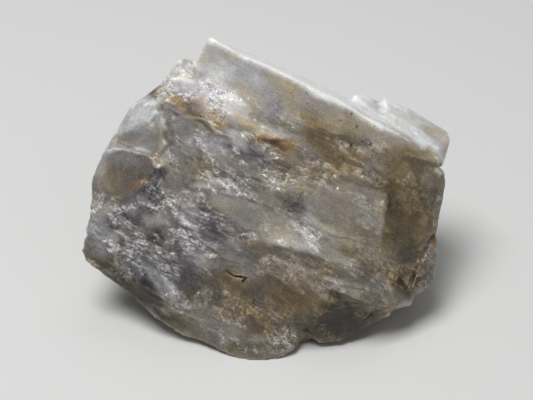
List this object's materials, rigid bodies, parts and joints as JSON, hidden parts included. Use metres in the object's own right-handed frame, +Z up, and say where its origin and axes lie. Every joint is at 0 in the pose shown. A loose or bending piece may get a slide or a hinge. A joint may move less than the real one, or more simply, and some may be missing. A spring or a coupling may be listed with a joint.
{
  "type": "amblygonite crystal",
  "caption": "Rough cleaved crystal specimen of a pale grey phosphate mineral, with a smooth slab along its top, standing on a flat broken face.",
  "frame": {"origin": "centre of the bounding box, on the surface that the crystal stands on", "axes": "+X along the width of the broad front face, towards its right; +Y from the front to the back; +Z up"},
  "size_m": [0.0566, 0.0348, 0.0384],
  "materials": {
    "amblygonite": "translucent grey, white and brownish cleaved mineral, waxy to glassy, with small bright glints and rusty stains"
  },
  "bodies": {
    "root": {"amblygonite_crystal": "amblygonite"}
  },
  "joints": []
}
